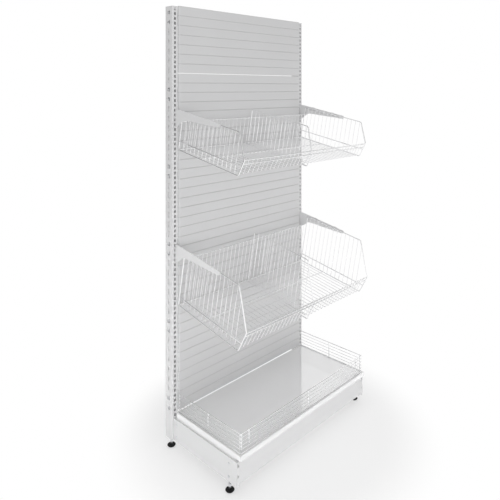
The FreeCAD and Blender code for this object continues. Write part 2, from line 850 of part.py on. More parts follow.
def basket_floor(basket):
    front = lip_foot(basket)[0] + wire_r
    return [rod(basket.point(x, 0, layer), basket.point(x, front, layer), wire_size) for x in mesh_places()]


def basket_rear(basket):
    return [rod(basket.point(x, layer, floor_top), basket.point(x, layer, basket.back_height + rail_r),
                wire_size) for x in mesh_places()]


def basket_lip(basket):
    low = lip_foot(basket)
    high = basket.lip(basket.lip_length + rail_r, -layer)
    return [rod(basket.point(x, *low), basket.point(x, *high), wire_size) for x in mesh_places()]


# Hook strip: welded to a side's top rail, over the bracket's edge and down its outer face
def basket_hook(basket, sign, s):
    edge = basket.edge
    over = edge + hanger_hook_thick
    leg = side_out + hanger_hook_thick
    outer = bracket_inner + bracket_thick + hanger_hook_play
    outline = [(side_out, edge - hanger_hook_inner), (leg, edge - hanger_hook_inner), (leg, edge),
               (outer, edge), (outer, edge - hanger_hook_outer),
               (outer + hanger_hook_thick, edge - hanger_hook_outer), (outer + hanger_hook_thick, over),
               (side_out, over)]
    rear = s - hanger_hook_width / 2
    corners = [basket.point(sign * x, rear, h) for x, h in outline]
    along = basket.point(0, rear + hanger_hook_width, 0) - basket.point(0, rear, 0)
    return Part.Face(Part.makePolygon(corners + corners[:1])).extrude(along)


def basket_hooks(basket):
    return [basket_hook(basket, sign, s) for sign in (-1, 1) for s in hanger_hook_places]


# Divider: the side's shape, standing inside the basket just clear of its floor, back and lip
def divider(basket):
    r = divider_rail / 2
    low = floor_top + divider_play + r
    rear = layer + wire_r + divider_play + r
    inside = layer + wire_r + divider_play + r * (lean_s + lean_h)      # clear of the square rail end
    foot = floor_depth + low * lean_s / lean_h - inside / lean_h
    lip_up = basket.lip_length - low / lean_h
    top = (basket.top_length, basket.side_height)
    mesh = SideMesh(basket, 0.0, 1, divider_rail, rear, low, top, foot, lip_up)
    return mesh.frame() + mesh.wires()


def feet():
    places = {}
    for side, sign in (("left", -1), ("right", 1)):
        places["front_" + side] = (sign * axis_x, leg_bolt_front, foot_nut_thick)
        places["rear_" + side] = (sign * axis_x, column_w, foot_plate_thick)
    return places


def build():
    sides = (("left", -1), ("right", 1))
    nodes = {"deck": [deck()], "kick_plate": [kick_plate()], "front_fence": front_fence()}
    for side, sign in sides:
        nodes[side + "_upright"] = [upright(sign)]
        nodes[side + "_base_leg"] = [base_leg(sign)]
        nodes[side + "_fence"] = side_fence(sign)
    nodes["upright_caps"] = [upright_cap(sign) for _, sign in sides]
    for i in range(tie_bar_count):
        nodes["tie_bar_%d" % (i + 1)] = [tie_bar(i)]
    heads = [(sign, z) for _, sign in sides for z in bar_bolt_heights()]
    nodes["tie_bar_bolts"] = [bar_bolt(sign, z) for sign, z in heads]
    nodes["tie_bar_nuts"] = [bar_nut(sign, z) for sign, z in heads]
    for i in range(len(panel_rows)):
        nodes["back_panel_%d" % (i + 1)] = [back_panel(i)]
    nodes["panel_hangers"] = [panel_hanger(x, i) for i in range(tie_bar_count)
                              for x in mirrored_pair(hanger_x)]
    nodes["leg_hook_blocks"] = [leg_hook_block(sign) for _, sign in sides]
    nodes["leg_bolts"] = [leg_bolt(sign, w, z) for _, sign in sides for w, z in leg_bolt_places()]
    nodes["leg_foot_nuts"] = [leg_foot_nut(sign) for _, sign in sides]
    nodes["upright_foot_plates"] = [upright_foot_plate(sign) for _, sign in sides]
    nodes["kick_plate_clips"] = [kick_clip(sign) for _, sign in sides]
    nodes["deck_stiffeners"] = [deck_stiffener(w) for w in stiffener_places()]
    for place, (x, w, nut_thick) in feet().items():
        nodes[place + "_foot_stud"] = [foot_stud(x, w, nut_thick)]
        nodes[place + "_foot_pad"] = [foot_pad(x, w)]
    for name, basket in baskets.items():
        for side, sign in sides:
            nodes["%s_%s_bracket" % (name, side)] = [bracket(sign, basket.hook_slot)]
            nodes["%s_basket_%s_side" % (name, side)] = basket_side(basket, sign)
        nodes[name + "_basket_frame"] = basket_frame(basket)
        nodes[name + "_basket_floor"] = basket_floor(basket)
        nodes[name + "_basket_back"] = basket_rear(basket)
        nodes[name + "_basket_lip"] = basket_lip(basket)
        nodes[name + "_basket_hooks"] = basket_hooks(basket)
        nodes[name + "_divider"] = divider(basket)
    return nodes


os.makedirs("parts", exist_ok=True)
for node, solids in build().items():
    shape = solids[0] if len(solids) == 1 else Part.makeCompound(solids)
    shape.exportStep("parts/%s.step" % node)
print("front faces of the uprights at y = %.3f mm" % face_y)
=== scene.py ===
import json
import math

import bpy
import numpy as np
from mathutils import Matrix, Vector


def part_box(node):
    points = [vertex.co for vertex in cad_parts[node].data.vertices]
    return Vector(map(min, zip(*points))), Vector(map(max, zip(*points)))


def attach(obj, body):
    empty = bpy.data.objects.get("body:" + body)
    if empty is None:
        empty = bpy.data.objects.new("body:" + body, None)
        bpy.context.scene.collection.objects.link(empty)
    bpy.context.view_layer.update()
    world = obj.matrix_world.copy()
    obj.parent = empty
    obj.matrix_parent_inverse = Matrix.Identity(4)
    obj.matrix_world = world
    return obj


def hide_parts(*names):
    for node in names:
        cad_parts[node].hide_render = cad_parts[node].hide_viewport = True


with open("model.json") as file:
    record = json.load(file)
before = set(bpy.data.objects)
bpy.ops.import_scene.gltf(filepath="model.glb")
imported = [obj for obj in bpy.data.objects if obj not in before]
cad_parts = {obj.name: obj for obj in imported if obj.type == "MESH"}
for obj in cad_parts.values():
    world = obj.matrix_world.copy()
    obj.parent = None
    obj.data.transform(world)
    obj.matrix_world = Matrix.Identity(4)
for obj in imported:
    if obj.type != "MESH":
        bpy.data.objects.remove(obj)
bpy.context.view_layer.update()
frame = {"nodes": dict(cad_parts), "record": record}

# Basket display rack: plated wire baskets and fences as swept tubes, turned feet and bolts,
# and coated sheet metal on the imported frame. Metres, front towards -Y.

nodes = frame["nodes"]
uprightLow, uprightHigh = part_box("left_upright")
faceY = uprightLow.y        # front face of the uprights
across = np.array((1.0, 0.0, 0.0))
upward = np.array((0.0, 0.0, 1.0))
print("frame loaded:", len(nodes), "nodes")


# Shader maths. A Value wraps an output socket, and arithmetic on it adds Math nodes.
class Value:
    def __init__(self, graph, socket):
        self.graph = graph
        self.socket = socket

    def join(self, operation, first, second):
        return self.graph.node("ShaderNodeMath", {"operation": operation}, {0: first, 1: second})

    def __add__(self, other):
        return self.join("ADD", self, other)

    def __radd__(self, other):
        return self.join("ADD", other, self)

    def __sub__(self, other):
        return self.join("SUBTRACT", self, other)

    def __rsub__(self, other):
        return self.join("SUBTRACT", other, self)

    def __mul__(self, other):
        return self.join("MULTIPLY", self, other)

    def __rmul__(self, other):
        return self.join("MULTIPLY", other, self)

    def __truediv__(self, other):
        return self.join("DIVIDE", self, other)

    def __rtruediv__(self, other):
        return self.join("DIVIDE", other, self)

    def most(self, other):
        return self.join("MAXIMUM", self, other)

    # distance to the nearest whole number
    def offWhole(self):
        return self.join("PINGPONG", self, 0.5)

    # 0 below low, 1 above high, smooth between
    def smooth(self, low, high):
        settings = {"interpolation_type": "SMOOTHSTEP"}
        sockets = {"Value": self, "From Min": low, "From Max": high}
        return self.graph.node("ShaderNodeMapRange", settings, sockets)


# One node tree. node() adds any node: its settings first, then the values or links of its sockets.
class Graph:
    def __init__(self, tree):
        self.tree = tree
        tree.nodes.clear()

    def node(self, kind, settings=None, sockets=None, out=0):
        made = self.tree.nodes.new(kind)
        for name, value in (settings or {}).items():
            setattr(made, name, value)
        for name, value in (sockets or {}).items():
            if isinstance(value, Value):
                self.tree.links.new(value.socket, made.inputs[name])
            else:
                made.inputs[name].default_value = value
        return Value(self, made.outputs[out]) if len(made.outputs) else made

    # a Mix node's colour sockets share their names with others, so they go by number
    def mixColour(self, factor, first, second):
        settings = {"data_type": "RGBA", "blend_type": "MIX"}
        return self.node("ShaderNodeMix", settings, {0: factor, 6: first, 7: second}, out=2)

    def noise(self, point, scale, detail=3.0, rough=0.5):
        sockets = {"Vector": point, "Scale": scale, "Detail": detail, "Roughness": rough}
        return self.node("ShaderNodeTexNoise", None, sockets)

    def heightOf(self, point):
        return self.node("ShaderNodeSeparateXYZ", None, {0: point}, out="Z")

    def alongWay(self, point, way):
        settings = {"operation": "DOT_PRODUCT"}
        return self.node("ShaderNodeVectorMath", settings, {0: point, 1: way}, out="Value")


def newMaterial(name):
    material = bpy.data.materials.new(name)
    material.use_nodes = True
    graph = Graph(material.node_tree)
    point = graph.node("ShaderNodeTexCoord", out="Object")
    return material, graph, point


def endSurface(graph, shader):
    graph.node("ShaderNodeOutputMaterial", None, {"Surface": shader})


def shaded(colour, factor):
    return tuple(channel * factor for channel in colour) + (1.0,)


# The look's colour, a little darker where the tone is low and a little lighter where it is high
def driftedColour(graph, tone, look):
    darker = shaded(look["colour"], 1 - look["drift"])
    lighter = shaded(look["colour"], 1 + look["drift"])
    return graph.mixColour(tone.smooth(*look["toneRamp"]), darker, lighter)


# Painted shade in the pressed grooves, one every pitch down from the panels' top: a darker line mixed into
# the colour where the groove walls shade the sheet
def paintedGrooveShading(graph, point, colour, look):
    place = (look["grooveTop"] - graph.heightOf(point)) / look["groovePitch"]
    line = 1.0 - place.offWhole().smooth(look["grooveCore"], look["grooveEdge"])
    return graph.mixColour(line * look["grooveShade"], colour, shaded(look["colour"], look["grooveTone"]))


# Coated sheet: broad tone drift, fine orange peel, softened edges, slightly uneven gloss and, where the
# look has grooves, painted shade along them
def coatedSheet(name, look):
    material, graph, point = newMaterial(name)
    drift = graph.noise(point, look["driftScale"])
    speck = graph.noise(point, look["speckScale"], detail=1.0)
    tone = drift * look["driftShare"] + speck * look["speckShare"]
    colour = driftedColour(graph, tone, look)
    # painted shade laid along the panels' pressed grooves
    if "groovePitch" in look:
        colour = paintedGrooveShading(graph, point, colour, look)
    peel = graph.noise(point, look["peelScale"], detail=2.0)
    edge = graph.node("ShaderNodeBevel", {"samples": 4}, {"Radius": look["edge"]})
    bump = graph.node("ShaderNodeBump", None, {
        "Strength": look["peel"], "Distance": look["peelDepth"], "Height": peel, "Normal": edge})
    rough = drift.smooth(*look["glossRamp"]) * look["roughSpread"] + look["rough"]
    shader = graph.node("ShaderNodeBsdfPrincipled", None, {
        "Base Color": colour, "Roughness": rough, "Metallic": look["metallic"], "Normal": bump,
        "Coat Weight": look["coat"], "Coat Roughness": look["coatRough"]})
    endSurface(graph, shader)
    return material


# Plated steel: bright metal with faint cloudy patches and hairline polish
def platedSteel(name, look):
    material, graph, point = newMaterial(name)
    cloud = graph.noise(point, look["cloudScale"], detail=4.0)
    fine = graph.noise(point, look["fineScale"], detail=2.0)
    colour = driftedColour(graph, cloud, look)
    rough = look["rough"] + fine.smooth(*look["glossRamp"]) * look["roughSpread"]
    bump = graph.node("ShaderNodeBump", None, {
        "Strength": look["grain"], "Distance": look["grainDepth"], "Height": fine})
    shader = graph.node("ShaderNodeBsdfPrincipled", None, {
        "Base Color": colour, "Roughness": rough, "Metallic": look["metallic"], "Normal": bump,
        "Coat Weight": look["coat"], "Coat Roughness": look["coatRough"]})
    endSurface(graph, shader)
    return material


# Moulded plastic: fine spark texture and scuffed patches
def mouldedPlastic(name, look):
    material, graph, point = newMaterial(name)
    scuff = graph.noise(point, look["scuffScale"], detail=5.0, rough=0.65)
    spark = graph.noise(point, look["sparkScale"], detail=1.0)
    fresh, worn = shaded(look["colour"], 1.0), shaded(look["worn"], 1.0)
    colour = graph.mixColour(scuff.smooth(*look["wornRamp"]), fresh, worn)
    bump = graph.node("ShaderNodeBump", None, {
        "Strength": look["spark"], "Distance": look["sparkDepth"], "Height": spark})
    rough = look["rough"] + scuff.smooth(*look["glossRamp"]) * look["roughSpread"]
    shader = graph.node("ShaderNodeBsdfPrincipled", None, {
        "Base Color": colour, "Roughness": rough, "Normal": bump})
    endSurface(graph, shader)
    return material


sheetLook = {"colour": (0.62, 0.62, 0.625), "drift": 0.015, "driftScale": 2.2, "driftShare": 0.7,
             "speckScale": 140.0, "speckShare": 0.3, "toneRamp": (0.3, 0.7),
             "peelScale": 700.0, "peel": 0.06, "peelDepth": 0.0004, "edge": 0.0006,
             "rough": 0.30, "roughSpread": 0.08, "glossRamp": (0.25, 0.75),
             "metallic": 0.0, "coat": 0.25, "coatRough": 0.12}
# the groove keys set the painted shade laid along the panels' pressed grooves
panelLook = dict(sheetLook, grooveTop=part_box("back_panel_1")[1].z, groovePitch=0.050, grooveCore=0.01,
                 grooveEdge=0.06, grooveShade=0.40, grooveTone=0.6)
postLook = dict(sheetLook, colour=(0.69, 0.69, 0.695))
baseLook = dict(sheetLook, colour=(0.70, 0.70, 0.705))
bracketLook = dict(sheetLook, colour=(0.72, 0.72, 0.725))
# the deck is a light gloss sheet; its colour is raised near white to make up for the baskets' shade on it,
# partly painted light
deckLook = dict(sheetLook, colour=(0.92, 0.92, 0.925), metallic=0.4, rough=0.04, roughSpread=0.02,
                peel=0.015)
wireLook = {"colour": (0.98, 0.98, 0.985), "drift": 0.015, "cloudScale": 30.0, "toneRamp": (0.3, 0.7),
            "fineScale": 900.0, "grain": 0.03, "grainDepth": 0.0002,
            "rough": 0.05, "roughSpread": 0.05, "glossRamp": (0.3, 0.7),
            "metallic": 1.0, "coat": 0.0, "coatRough": 0.05}
zincLook = dict(wireLook, colour=(0.72, 0.73, 0.75), drift=0.08, cloudScale=160.0, rough=0.28,
                roughSpread=0.10)
capLook = {"colour": (0.58, 0.58, 0.585), "worn": (0.64, 0.64, 0.645), "scuffScale": 40.0,
           "wornRamp": (0.45, 0.8), "sparkScale": 1500.0, "spark": 0.15, "sparkDepth": 0.0003,
           "rough": 0.42, "roughSpread": 0.15, "glossRamp": (0.4, 0.8)}
footLook = dict(capLook, colour=(0.003, 0.003, 0.0035), worn=(0.006, 0.006, 0.0065), rough=0.75)

materials = {
    "panel_paint": coatedSheet("panel coating", panelLook),
    "upright_paint": coatedSheet("upright coating", postLook),
    "base_paint": coatedSheet("base coating", baseLook),
    "deck_paint": coatedSheet("deck gloss coating", deckLook),
    "bracket_paint": coatedSheet("bracket coating", bracketLook),
    "wire_chrome": platedSteel("plated wire", wireLook),
    "zinc": platedSteel("zinc plate", zincLook),
    "cap_plastic": mouldedPlastic("cap plastic", capLook),
    "foot_plastic": mouldedPlastic("foot plastic", footLook),
}
slotOf = {entry["node"]: entry["material_slot"] for entry in frame["record"]["subparts"]}
for node, shape in nodes.items():
    shape.data.materials.clear()
    shape.data.materials.append(materials[slotOf[node]])
print("materials:", len(materials))


# Mesh from whole arrays: corner places, and faces given as arrays that share a corner count
def meshPiece(name, corners, faceSets, slot, body, stands):
    mesh = bpy.data.meshes.new(name)
    loops = np.concatenate([faces.ravel() for faces in faceSets])
    counts = np.concatenate([np.full(len(faces), faces.shape[1]) for faces in faceSets])
    starts = np.concatenate([[0], np.cumsum(counts)[:-1]])
    mesh.vertices.add(len(corners))
    mesh.vertices.foreach_set("co", np.asarray(corners, dtype=np.float32).ravel())
    mesh.loops.add(len(loops))
    mesh.loops.foreach_set("vertex_index", loops.astype(np.int32))
    mesh.polygons.add(len(counts))
    mesh.polygons.foreach_set("loop_start", starts.astype(np.int32))
    mesh.polygons.foreach_set("use_smooth", np.full(len(counts), True))
    mesh.update(calc_edges=True)
    mesh.validate()
    mesh.materials.append(materials[slot])
    piece = bpy.data.objects.new(name, mesh)
    bpy.context.scene.collection.objects.link(piece)
    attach(piece, body)
    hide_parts(*stands)


# One piece from several shapes, each given as its corners, its wall faces and its end faces
def joinedPiece(name, shapes, slot, body, stands):
    corners, walls, ends, offset = [], [], [], 0
    for places, wallFaces, endFaces in shapes:
        corners.append(places)
        walls.append(wallFaces + offset)
        ends.append(endFaces + offset)
        offset += len(places)
    faceSets = [np.concatenate(walls), np.concatenate(ends)]
    meshPiece(name, np.concatenate(corners), faceSets, slot, body, stands)


def unit(vector):
    return vector / np.linalg.norm(vector, axis=-1, keepdims=True)


# Even angles once round
def ringTurn(sides):
    return np.arange(sides) * 2 * math.pi / sides


# Wall faces between rings of corners: each ring is joined to the one ahead of it
def ringQuads(here, ahead):
    faces = np.stack([here, np.roll(here, -1, axis=1), np.roll(ahead, -1, axis=1), ahead], axis=-1)
    return faces.reshape(-1, 4)


# Fans that close the first and the last ring at two poles, numbered after the rings' corners
def poleFans(index):
    first, last = index[0], index[-1]
    under = np.stack([np.roll(first, -1), first, np.full_like(first, index.size)], axis=-1)
    over = np.stack([last, np.roll(last, -1), np.full_like(last, index.size + 1)], axis=-1)
    return np.concatenate([under, over])


tubeSettings = {"sides": 12, "bendSteps": 6, "endStep": 0.35, "endShare": 0.7}


# Polyline with each inner corner turned into an arc of the given bend radius
def bent(points, bend, closed=False):
    points = np.asarray(points, dtype=float)
    if closed:
        before, after, middle = np.roll(points, 1, axis=0), np.roll(points, -1, axis=0), points
    else:
        before, after, middle = points[:-2], points[2:], points[1:-1]
    arcs = []
    for start, corner, end in zip(before, middle, after):
        back, ahead = unit(start - corner), unit(end - corner)
        half = math.acos(np.clip(back @ ahead, -1, 1)) / 2
        heart = corner + unit(back + ahead) * bend / math.sin(half)
        reach = bend / math.tan(half)
        first, last = corner + back * reach - heart, corner + ahead * reach - heart
        sweep = math.pi - 2 * half
        t = np.linspace(0, 1, tubeSettings["bendSteps"] + 1)[:, None]
        # point on the arc: the two radii mixed by sines of the remaining and the covered angle
        arcs.append(heart + (first * np.sin((1 - t) * sweep) + last * np.sin(t * sweep)) / math.sin(sweep))
    run = arcs if closed else [points[:1]] + arcs + [points[-1:]]
    return np.concatenate(run)


# Tube: a circle of the given radius carried along a flat path; side is square to the path's plane.
# Corner(i, a) = path(i) + radius(i) * (cos a * out(i) + sin a * side), with out = side x tangent.
# An open tube has chamfered ends.
def tube(path, radius, side, closed=False):
    path = np.asarray(path, dtype=float)
    radii = np.full(len(path), radius)
    if closed:
        along = np.roll(path, -1, axis=0) - np.roll(path, 1, axis=0)
    else:
        step = tubeSettings["endStep"] * radius
        second = path[0] + unit(path[1] - path[0]) * step
        beforeLast = path[-1] - unit(path[-1] - path[-2]) * step
        path = np.vstack([path[:1], second, path[1:-1], beforeLast, path[-1:]])
        small = radius * tubeSettings["endShare"]
        radii = np.concatenate([[small, radius], radii[1:-1], [radius, small]])
        along = np.gradient(path, axis=0)
    out = unit(np.cross(side, unit(along)))
    sides = tubeSettings["sides"]
    turn = ringTurn(sides)[None, :, None]
    ring = np.cos(turn) * out[:, None, :] + np.sin(turn) * side
    corners = path[:, None, :] + radii[:, None, None] * ring
    index = np.arange(len(path) * sides).reshape(len(path), sides)
    if closed:
        return corners.reshape(-1, 3), ringQuads(index, np.roll(index, -1, axis=0)), index[:0]
    return corners.reshape(-1, 3), ringQuads(index[:-1], index[1:]), np.stack([index[0, ::-1], index[-1]])


def wirePiece(name, tubes, body, stands):
    joinedPiece(name, tubes, "wire_chrome", body, stands)


def spaced(first, last, pitch):
    return np.linspace(first, last, max(1, round((last - first) / pitch)) + 1)


# Baskets. s runs forward along the sloping floor from its rear edge, h stands square to the floor.
basketSettings = {"tilt": 10.6, "back": 0.018, "floorDepth": 0.458, "rail": 0.006, "wire": 0.003,
                  "wirePitch": 0.030, "midRod": 0.39, "lowRail": 0.045, "lean": 18.5,
                  "lipRailGap": 0.022, "edgeRise": 0.0065, "bracketFlat": 0.028,
                  "wireBend": 0.007, "frameBend": 0.012, "keelBend": 0.012,
                  "dividerRail": 0.005, "dividerPlay": 0.0003}
basketKinds = {"upper": {"side": 0.200, "rear": 0.150, "lip": 0.086, "topSetback": 0.027},
               "lower": {"side": 0.300, "rear": 0.250, "lip": 0.112, "topSetback": 0.049}}


class Basket:
    def __init__(self, name):
        self.name = name
        self.body = name + "_basket"
        self.kind = basketKinds[name]
        tilt = math.radians(basketSettings["tilt"])
        lean = math.radians(basketSettings["lean"])
        self.cosT, self.sinT = math.cos(tilt), math.sin(tilt)
        self.leanS, self.leanH = math.sin(lean), math.cos(lean)
        self.depth = basketSettings["floorDepth"]
        self.railR = basketSettings["rail"] / 2
        self.wireR = basketSettings["wire"] / 2
        self.layer = self.railR + self.wireR
        self.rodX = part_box(name + "_basket_frame")[1].x
        edge = self.kind["side"] + basketSettings["edgeRise"]
        along = (basketSettings["bracketFlat"] - basketSettings["back"] - edge * self.sinT) / self.cosT
        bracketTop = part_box(name + "_left_bracket")[1].z
        self.backZ = bracketTop - edge * self.cosT + along * self.sinT

    # world places of points (s, h) in the plane at x
    def at(self, x, points):
        s, h = np.asarray(points, dtype=float).T
        forward = basketSettings["back"] + s * self.cosT + h * self.sinT
        height = self.backZ - s * self.sinT + h * self.cosT
        return np.stack([np.full(len(s), x), faceY - forward, height], axis=-1)

    # point (s, h) that lies so far up the leaning lip and so far out from it
    def lip(self, up, out):
        return self.depth + up * self.leanS + out * self.leanH, up * self.leanH - out * self.leanS

    def crossRod(self, s, h, reach):
        ends = np.concatenate([self.at(-reach, [(s, h)]), self.at(reach, [(s, h)])])
        return tube(ends, self.railR, upward)

    def flatWire(self, x, points, size, bend=0.0):
        path = self.at(x, points)
        return tube(bent(path, bend) if bend else path, size / 2, across)

    def meshPlaces(self):
        return spaced(-self.rodX, self.rodX, basketSettings["wirePitch"])[1:-1]


# Long wires: down the back, along the floor and up the lip in one bent length
def basketMesh(basket):
    layer, rear = basket.layer, basket.kind["rear"]
    lipUp = (layer - layer * basket.leanS) / basket.leanH
    route = [(layer, rear + basket.railR), (layer, layer), basket.lip(lipUp, -layer),
             basket.lip(basket.kind["lip"] + basket.railR, -layer)]
    wire, bend = basketSettings["wire"], basketSettings["wireBend"]
    tubes = [basket.flatWire(x, route, wire, bend) for x in basket.meshPlaces()]
    stands = [basket.body + "_" + part for part in ("floor", "back", "lip")]
    wirePiece(basket.body + "_mesh", tubes, basket.body, stands)


# Cross rails: two under the floor, one along the back's top and a pair on the lip. The keel runs under
# the middle of the floor and bends up in front of the lip's rails.
def basketRails(basket):
    rail, lip, gap = basketSettings["rail"], basket.kind["lip"], basketSettings["lipRailGap"]
    places = [(0.0, 0.0), (0.0, basket.kind["rear"]), basket.lip(lip, 0.0), basket.lip(lip - gap, 0.0)]
    tubes = [basket.crossRod(*place, basket.rodX) for place in places]
    middle = basket.depth * basketSettings["midRod"]
    tubes.append(basket.crossRod(middle, 0.0, basket.rodX - basketSettings["wire"]))
    turn = basket.lip((rail * basket.leanS - rail) / basket.leanH, rail)
    keel = [(-basket.railR, -rail), turn, basket.lip(lip - gap / 2, rail)]
    tubes.append(basket.flatWire(0.0, keel, rail, basketSettings["keelBend"]))
    wirePiece(basket.body + "_rails", tubes, basket.body, [basket.body + "_frame"])


# A flat mesh: one bent loop of rail, and upright wires laid on one face between its ends.
# The loop's corners are rear foot, front foot, lip top, front top and rear top.
def sideTubes(basket, x, facing, rail, rear, low, foot, lipUp):
    railR, wireR = rail / 2, basket.wireR
    top = (basket.depth - basket.kind["topSetback"], basket.kind["side"])
    lip = (foot + lipUp * basket.leanS, low + lipUp * basket.leanH)
    loop = basket.at(x, [(rear, low), (foot, low), lip, top, (rear, top[1])])
    tubes = [tube(bent(loop, basketSettings["frameBend"], closed=True), railR, across, closed=True)]
    fall = (top[1] - lip[1]) / (lip[0] - top[0])
    wireX = x + facing * (railR + wireR)
    for s in spaced(rear, foot, basketSettings["wirePitch"])[1:-1]:
        high = top[1] + railR if s <= top[0] else top[1] - (s - top[0]) * fall
        tubes.append(basket.flatWire(wireX, [(s, low - railR), (s, high)], wireR * 2))
    return tubes


def basketSide(basket, side, sign):
    x = sign * (basket.rodX + basket.railR)
    rail, low = basketSettings["rail"], basketSettings["lowRail"]
    tubes = sideTubes(basket, x, -sign, rail, 0.0, 0.0, basket.depth, basket.kind["lip"])
    front = basket.depth + low * basket.leanS / basket.leanH
    tubes.append(basket.flatWire(x, [(0.0, low), (front, low)], rail))
    name = basket.body + "_" + side + "_side"
    wirePiece(name + "_wires", tubes, basket.body, [name])


# Divider in the middle, just clear of the floor's wires and of the lip's
def basketDivider(basket):
    rail = basketSettings["dividerRail"]
    clear = basket.layer + basket.wireR + basketSettings["dividerPlay"]
    low = clear + rail / 2
    inside = clear + rail / 2 * (basket.leanS + basket.leanH)
    foot = basket.depth + (low * basket.leanS - inside) / basket.leanH
    tubes = sideTubes(basket, 0.0, 1, rail, low, low, foot, basket.kind["lip"] - low / basket.leanH)
    name = basket.name + "_divider"
    wirePiece(name + "_wires", tubes, name, [name])


for basketName in basketKinds:
    basket = Basket(basketName)
    basketMesh(basket)
    basketRails(basket)
    basketSide(basket, "left", -1)
    basketSide(basket, "right", 1)
    basketDivider(basket)
print("baskets done")

# Fences: posts dropped into the deck, rows of wire on their outer side
fenceSettings = {"post": 0.005, "wire": 0.003, "rail": 0.005, "rows": 6, "lowest": 0.0035,
                 "backInset": 0.007, "frontInset": 0.020, "cornerInset": 0.005, "secondInset": 0.052}
deckLow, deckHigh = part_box("deck")


# Height and size of each row: thin wires between a bottom rail and a top rail
def fenceRows(top):
    rail, rows = fenceSettings["rail"], fenceSettings["rows"]
    heights = np.linspace(deckHigh.z + fenceSettings["lowest"], top - rail / 2, rows)
    return zip(heights, [rail] + [fenceSettings["wire"]] * (rows - 2) + [rail])


def fencePosts(places, low, top):
    return [tube([(x, y, low), (x, y, top)], fenceSettings["post"] / 2, across) for x, y in places]


# Side fence with three posts; gives back how far its posts stand from the middle
def sideFence(name, sign):
    low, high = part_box(name)
    outer = low.x if sign < 0 else high.x
    postFace = outer - sign * fenceSettings["rail"]
    postX = postFace - sign * fenceSettings["post"] / 2
    rear = deckHigh.y - fenceSettings["backInset"]
    front = deckLow.y + fenceSettings["frontInset"]
    tubes = fencePosts([(postX, y) for y in (rear, (rear + front) / 2, front)], low.z, high.z)
    for z, size in fenceRows(high.z):
        x = postFace + sign * size / 2
        tubes.append(tube([(x, high.y, z), (x, low.y, z)], size / 2, upward))
    wirePiece(name + "_wires", tubes, name, [name])
    return abs(postX)


# Front fence with a post at each corner, one a little in from it, and one in the middle
def frontFence(name, sidePostX):
    low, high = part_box(name)
    postFace = low.y + fenceSettings["rail"]
    postY = postFace + fenceSettings["post"] / 2
    corner = sidePostX - fenceSettings["cornerInset"]
    second = sidePostX - fenceSettings["secondInset"]
    tubes = fencePosts([(x, postY) for x in (-corner, -second, 0.0, second, corner)], low.z, high.z)
    for z, size in fenceRows(high.z):
        y = postFace - size / 2
        tubes.append(tube([(low.x, y, z), (high.x, y, z)], size / 2, upward))
    wirePiece(name + "_wires", tubes, name, [name])


sidePostX = sideFence("left_fence", -1)
sideFence("right_fence", 1)
frontFence("front_fence", sidePostX)
print("fences done")

turnedSettings = {"sides": 48}


# Turned shape: corner(i, a) = centre + axis * height(i) + radius(i) * (cos a * first + sin a * second).
# profile holds (radius, height) from the lower pole to the upper; both poles are closed by a fan.
def turned(profile, centre, axis, first):
    profile, centre = np.asarray(profile, dtype=float), np.asarray(centre)
    axis = np.asarray(axis, dtype=float)
    second = np.cross(axis, first)
    sides = turnedSettings["sides"]
    turn = ringTurn(sides)[None, :, None]
    ring = np.cos(turn) * first + np.sin(turn) * second
    body = profile[1:-1]
    corners = centre + body[:, 1, None, None] * axis + body[:, 0, None, None] * ring
    poles = centre + profile[[0, -1], 1][:, None] * axis
    index = np.arange(len(body) * sides).reshape(len(body), sides)
    walls = ringQuads(index[:-1], index[1:])
    return np.concatenate([corners.reshape(-1, 3), poles]), walls, poleFans(index)


# Quarter round from (r0, z0) to (r1, z1), bulging outwards like an ellipse
def quarter(r0, z0, r1, z1, steps):
    t = np.linspace(0, math.pi / 2, steps + 1)
    return np.stack([r1 + (r0 - r1) * np.cos(t), z0 + (z1 - z0) * np.sin(t)], axis=-1).tolist()


footSettings = {"sole": 0.017, "soleRound": 0.001, "rimHeight": 0.006, "domeSteps": 12, "hub": 0.009,
                "hubRound": 0.001}


# Pad of a foot: flat sole, flared rim, and a dome up to the hub
def footPad(place):
    node = place + "_foot_pad"
    low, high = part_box(node)
    centre = ((low.x + high.x) / 2, (low.y + high.y) / 2, low.z)
    radius, height = (high.x - low.x) / 2, high.z - low.z
    sole, edge = footSettings["sole"], footSettings["soleRound"]
    hub, hubRound = footSettings["hub"], footSettings["hubRound"]
    rim, steps = footSettings["rimHeight"], footSettings["domeSteps"]
    profile = [(0, 0), (sole - edge, 0), (sole, edge / 2)]
    profile += quarter(radius, rim, hub, height - hubRound / 2, steps)
    profile += [(hub - hubRound, height), (0, height)]
    shapes = [turned(profile, centre, upward, across)]
    joinedPiece(node + "_moulding", shapes, "foot_plastic", place + "_foot", [node])


studSettings = {"size": 0.010, "pitch": 0.0015, "depth": 0.0008, "perTurn": 8, "sides": 24,
                "neckHigh": 0.0345, "neckEdge": 0.001}


# Threaded stud: corner(z, a) = centre + (radius - depth * wave) * (cos a, sin a), where the wave rises
# and falls evenly once per pitch along z and winds round with a; both ends are closed by a fan
def threadShape(low, high, middle):
    radius, pitch, sides = studSettings["size"] / 2, studSettings["pitch"], studSettings["sides"]
    rings = round((high - low) / pitch * studSettings["perTurn"]) + 1
    z = np.linspace(low, high, rings)[:, None]
    turn = ringTurn(sides)[None, :]
    wave = np.abs((z / pitch - turn / (2 * math.pi)) % 1.0 - 0.5) * 2
    reach = radius - studSettings["depth"] * wave
    corners = np.stack([middle[0] + reach * np.cos(turn), middle[1] + reach * np.sin(turn),
                        np.broadcast_to(z, reach.shape)], axis=-1).reshape(-1, 3)
    poles = np.array([(*middle, low), (*middle, high)])
    index = np.arange(rings * sides).reshape(rings, sides)
    return np.concatenate([corners, poles]), ringQuads(index[:-1], index[1:]), poleFans(index)


